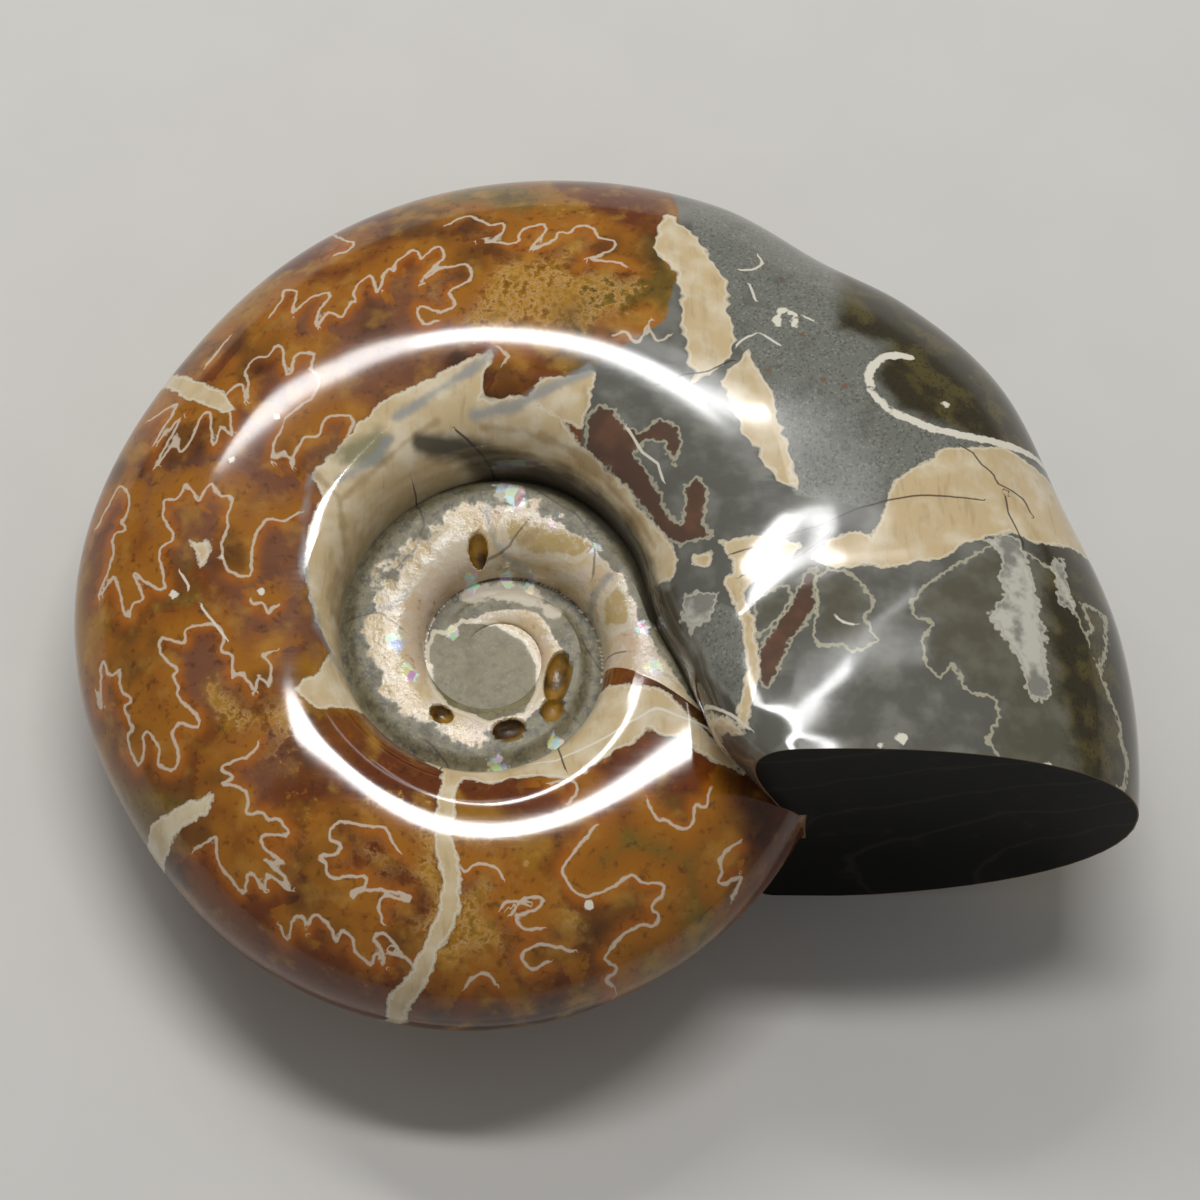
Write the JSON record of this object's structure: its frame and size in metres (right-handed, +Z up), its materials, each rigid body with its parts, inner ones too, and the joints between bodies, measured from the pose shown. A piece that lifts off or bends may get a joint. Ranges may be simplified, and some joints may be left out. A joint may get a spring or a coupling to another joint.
{
  "type": "polished ammonite fossil",
  "caption": "Polished ammonite: a flat-coiled fossil shell lying on its flank, with a stepped umbilicus, open chambers in it and a body chamber sawn off flat.",
  "frame": {"origin": "on the surface that the fossil lies on, below the middle of its outline", "axes": "+X towards the sawn end of the body chamber, +Y away from the sawn face, +Z up through the coil, nearly along the coil axis"},
  "size_m": [0.0762, 0.066, 0.0293],
  "materials": {
    "fossil": "polished: amber and red-brown calcite, tan shell and grey matrix"
  },
  "bodies": {
    "root": {"ammonite": "fossil"}
  },
  "joints": []
}
